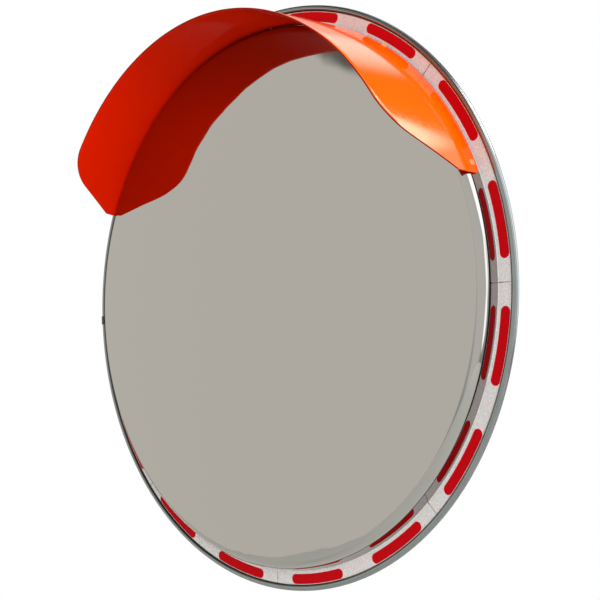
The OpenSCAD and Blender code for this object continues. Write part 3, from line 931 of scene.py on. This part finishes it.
def add_bolt(bm, spot, size, length, thread):
    """Hexagon bolt: chamfered head below 0, plain shank, and a real thread over its last part."""
    radius, head, _, pitch = size
    rows = int(thread / pitch * THREAD_ROWS)

    def outline(angle):
        reach, land, cut = hex_edge(angle, radius * HEX_RATIO)
        points = [(0, -head), (land, -head), (reach, cut - head), (reach, -HEX_EASE),
                  (reach - HEX_EASE, 0), (radius, 0), (radius, length - thread)]
        for i in range(1, rows + 1):
            height = length - thread + thread * i / rows
            turn = (height / pitch - angle / (2 * math.pi)) % 1
            ridge = radius - THREAD_DEPTH * pitch * abs(2 * turn - 1)
            points.append((min(ridge, radius - THREAD_TIP + (length - height)), height))
        return points + [(0, length)]

    spin(bm, spot, HEX_COLUMNS, outline)


def add_nut(bm, spot, size, low):
    """Hexagon nut, chamfered on both sides, from a height upward."""
    radius, _, height, _ = size
    high = low + height
    hole, mouth = radius + NUT_GAP, radius + NUT_EASE

    def outline(angle):
        reach, land, cut = hex_edge(angle, radius * HEX_RATIO)
        return [(hole, low + NUT_EASE), (mouth, low), (land, low), (reach, low + cut),
                (reach, high - cut), (land, high), (mouth, high), (hole, high - NUT_EASE)]

    spin(bm, spot, HEX_COLUMNS, outline, closed=True)


def add_ring(bm, spot, inner, outer, low, high, edge):
    """Flat ring with eased edges, for washers and friction discs."""
    columns = 72
    outline = [(inner, low + edge), (inner + edge, low), (outer - edge, low), (outer, low + edge),
               (outer, high - edge), (outer - edge, high), (inner + edge, high),
               (inner, high - edge)]
    spin(bm, spot, columns, lambda angle: outline, closed=True)


def fastener_set(node, spots, material, add):
    """One piece for all of a CAD node's like parts: add(bm, spot) makes each."""
    bm = bmesh.new()
    for spot in spots:
        add(bm, spot)
    stand_for(make_object(f"{node}_finished", bm, material, sharp=32), node)


def build_fasteners():
    x, y, z = Vector((1, 0, 0)), Vector((0, 1, 0)), Vector((0, 0, 1))
    corners = [(a, b) for a in (-1, 1) for b in (-1, 1)]
    tilt = [(Vector((0, TILT_Y, 0)), x, -z)]
    pan = [(Vector((0, PAN_Y, 0)), -z, x)]
    bracket = [(Vector((a * BRACKET_X, BACK_Y, b * BRACKET_Z)), y, x) for a, b in corners]
    clamp = [(Vector((a * CLAMP_X, 0, b * CLAMP_Z)), -y, x) for a, b in corners]

    def bolts(node, spots, size, start, length, thread):
        moved = [(origin + axis * start, axis, side) for origin, axis, side in spots]
        fastener_set(node, moved, ZINC, lambda bm, spot: add_bolt(bm, spot, size, length, thread))

    def nuts(node, spots, size, low):
        fastener_set(node, spots, ZINC, lambda bm, spot: add_nut(bm, spot, size, low))

    def rings(node, spots, material, radii, starts, thickness, edge):
        fastener_set(node, spots, material, lambda bm, spot: [
            add_ring(bm, spot, *radii, low, low + thickness, edge) for low in starts])

    hole = M12[0] + HOLE_GAP
    far = CHEEK_OUT + WASHER_T
    for name, spots in (("tilt", tilt), ("pan", pan)):
        bolts(f"{name}_bolt", spots, M12, -far, length=2 * far + 16 * MM, thread=7 * MM)
        nuts(f"{name}_nut", spots, M12, far)
        rings(f"{name}_washers", spots, ZINC, (hole, 12 * MM), (-far, CHEEK_OUT), WASHER_T,
              WASHER_EASE)
        rings(f"{name}_discs", spots, FIBRE, (hole, DISC_R), (-BOSS_HALF - DISC_T, BOSS_HALF),
              DISC_T, 0.2 * MM)

    hole = M10[0] + HOLE_GAP
    bolts("bracket_bolts", bracket, M10, -BACK_T - BACKING_T, length=24 * MM, thread=5 * MM)
    rings("bracket_washers", bracket, ZINC, (hole, 10.5 * MM), (BRACKET_T,), WASHER_T,
          WASHER_EASE)
    nuts("bracket_nuts", bracket, M10, BRACKET_T + WASHER_T)
    far = CLAMP_LUG + THIN_WASHER_T
    bolts("clamp_bolts", clamp, M10, -far, length=2 * far + 14 * MM, thread=8 * MM)
    rings("clamp_washers", clamp, ZINC, (hole, 10 * MM), (-far, CLAMP_LUG), THIN_WASHER_T,
          THIN_WASHER_EASE)
    nuts("clamp_nuts", clamp, M10, far)


def build_liners():
    """Rubber half sleeves with shallow grip grooves along the pole."""
    columns = 240
    cut = math.asin(LINER_CUT / (0.5 * (LINER_IN + LINER_OUT)))
    for node, side in (("front_liner", -1), ("rear_liner", 1)):
        bm = bmesh.new()
        rings = []
        for i in range(columns + 1):
            angle = cut + (math.pi - 2 * cut) * i / columns
            groove = LINER_GROOVE * max(math.sin(LINER_GROOVES * angle * 2), 0) ** 0.5
            inner = LINER_IN + groove
            rings.append([bm.verts.new((r * math.cos(angle), side * r * math.sin(angle), z))
                          for r, z in ((inner, -CLAMP_H / 2), (LINER_OUT, -CLAMP_H / 2),
                                       (LINER_OUT, CLAMP_H / 2), (inner, CLAMP_H / 2))])
        for a, b in zip(rings, rings[1:]):
            bridge(bm, a, b)
        cap_ends(bm, rings)
        stand_for(make_object(f"{node}_grooved", bm, RUBBER), node)


# ---------------------------------------------------------------- camera, lights and floor

CAMERA_AZIMUTH = math.radians(44.6)
CAMERA_ELEVATION = math.radians(-3.04)
CAMERA_ROLL = math.radians(-0.42)
CAMERA_DISTANCE = 1.710
CAMERA_SLIDE = (0.033, -0.0048)
CAMERA_LENS = 74.2

STUDIO_MIDDLE = (0, FLANGE_Y, 0)
FLOOR_R = 3.2
FLOOR_DROP = 0.9                          # below the part's lowest point


def direction(azimuth, elevation):
    """Unit vector: azimuth 0 is in front of the mirror (-Y), 90 degrees is on its +X side."""
    return Vector((math.sin(azimuth) * math.cos(elevation),
                   -math.cos(azimuth) * math.cos(elevation), math.sin(elevation)))


def build_camera():
    back = direction(CAMERA_AZIMUTH, CAMERA_ELEVATION)
    right = (-back).cross(Vector((0, 0, 1))).normalized()
    up = right.cross(-back)
    turn = Matrix.Rotation(CAMERA_ROLL, 3, back)
    right, up = turn @ right, turn @ up
    spot = Vector(STUDIO_MIDDLE) + back * CAMERA_DISTANCE
    spot += right * CAMERA_SLIDE[0] + up * CAMERA_SLIDE[1]
    data = bpy.data.cameras.new("camera")
    data.lens = CAMERA_LENS
    camera = bpy.data.objects.new("camera", data)
    basis = Matrix((right, up, back)).transposed().to_4x4()
    camera.matrix_world = Matrix.Translation(spot) @ basis
    bpy.context.scene.collection.objects.link(camera)
    bpy.context.scene.camera = camera


def area_light(name, spot, size, power):
    """Lamp that faces the mirror and isn't seen in it; the sky's patches are its reflections."""
    data = bpy.data.lights.new(name, "AREA")
    data.shape = "RECTANGLE"
    data.size, data.size_y = size
    data.energy = power
    light = bpy.data.objects.new(name, data)
    light.location = spot
    aim = Vector(STUDIO_MIDDLE) - Vector(spot)
    light.rotation_euler = aim.to_track_quat("-Z", "Y").to_euler()
    light.visible_glossy = False
    light.visible_camera = False
    bpy.context.scene.collection.objects.link(light)


# azimuth, elevation, radius of the full patch, radius where it has faded (degrees), colour
SKY_PATCHES = [
    (0, 90, 25, 70, (0.95, 0.97, 1.0)),
    (0, -90, 40, 86, (0.2, 0.2, 0.19)),
    (-15, 56, 20, 40, (0.14, 0.14, 0.135)),
    (-48, 3, 30, 44, (0.905, 0.875, 0.80)),
    (-34, 32.3, 11.6, 12.9, (0.19, 0.18, 0.165)),
    (45, 0, 30, 46, (0.87, 0.85, 0.8)),
    (12, 15, 16, 26, (0.88, 0.86, 0.81)),
    (104, 42, 20, 31, (2.3, 2.35, 2.35)),
    (92, 9, 7, 15, (2.1, 2.1, 2.1)),
    (89, -8, 7, 13, (2.1, 2.1, 2.1)),
    (136, 14, 20, 30, (2.3, 2.45, 2.5)),
    (-135, 3, 9, 30, (0.1, 0.1, 0.1)),
    (-90, 48, 18, 34, (0.12, 0.12, 0.115)),
    (178, 50, 16, 26, (0.06, 0.06, 0.06)),
    (140, 50, 10.4, 12.2, (10.5, 10.5, 9.5)),
    (205, 47, 3, 15, (2.2, 2.15, 2.1)),
]


def build_world():
    """White to the camera; to everything else a soft studio with light and dark panels."""
    world = bpy.data.worlds.new("studio")
    bpy.context.scene.world = world
    world.use_nodes = True
    tree = world.node_tree
    coord = tree.nodes.new("ShaderNodeTexCoord").outputs["Generated"]
    white = (1, 1, 1, 1)
    room = (0.6, 0.6, 0.59, 1)
    for azimuth, elevation, full, faint, colour in SKY_PATCHES:
        dot = tree.nodes.new("ShaderNodeVectorMath")
        dot.operation = "DOT_PRODUCT"
        dot.inputs[1].default_value = direction(math.radians(azimuth), math.radians(elevation))
        tree.links.new(coord, dot.inputs[0])
        reach = tree.nodes.new("ShaderNodeMapRange")
        reach.interpolation_type = "SMOOTHSTEP"
        reach.inputs["From Min"].default_value = math.cos(math.radians(faint))
        reach.inputs["From Max"].default_value = math.cos(math.radians(full))
        tree.links.new(dot.outputs["Value"], reach.inputs["Value"])
        room = colour_mix(tree, reach.outputs["Result"], room, colour + (1,))
    path = tree.nodes.new("ShaderNodeLightPath")
    tree.links.new(colour_mix(tree, path.outputs["Is Camera Ray"], room, white),
                   tree.nodes["Background"].inputs["Color"])


def build_floor():
    bm = bmesh.new()
    bmesh.ops.create_circle(bm, cap_ends=True, radius=FLOOR_R, segments=96)
    n = Nodes("floor")
    light, dark = (0.56, 0.555, 0.53, 1), (0.53, 0.525, 0.5, 1)
    n.use(Base_Color=n.mix(n.noise(2, 4, 0.5), light, dark))
    n.set(Roughness=0.7)
    floor = make_object("floor", bm, n.material)
    floor.location = (0, FLANGE_Y, cad_box[0].z - FLOOR_DROP)


def build_studio():
    """Each lamp has a place, a size in metres and a power in watts."""
    bpy.context.scene.view_settings.view_transform = "Standard"
    area_light("key", (4.5, -2.5, 0.8), (3.5, 3.5), 120)
    area_light("fill", (-1.5, -3.0, 0.4), (2.5, 2.5), 8)
    area_light("top", (0.8, -0.2, 3.0), (2.5, 2.0), 28)
    area_light("back", (2.4, 4.2, 1.9), (3.5, 3.5), 42)
    area_light("back_fill", (-3.2, 3.4, 1.2), (2.5, 2.5), 22)
    build_world()
    build_floor()


finish_cad_nodes()
build_dish()
build_tapes()
build_visor()
build_band()
build_rivets()
build_clip()
build_back_shell()
refine("backing_plate", 0.6 * MM)
refine("tilt_bracket", 1.0 * MM, 2.5 * MM)
refine("swivel_arm", 1.3 * MM, 2.0 * MM)
refine("pole_saddle", 0.9 * MM, 2.0 * MM)
refine("pole_cap", 0.9 * MM, 2.0 * MM)
build_liners()
build_fasteners()
build_camera()
build_studio()
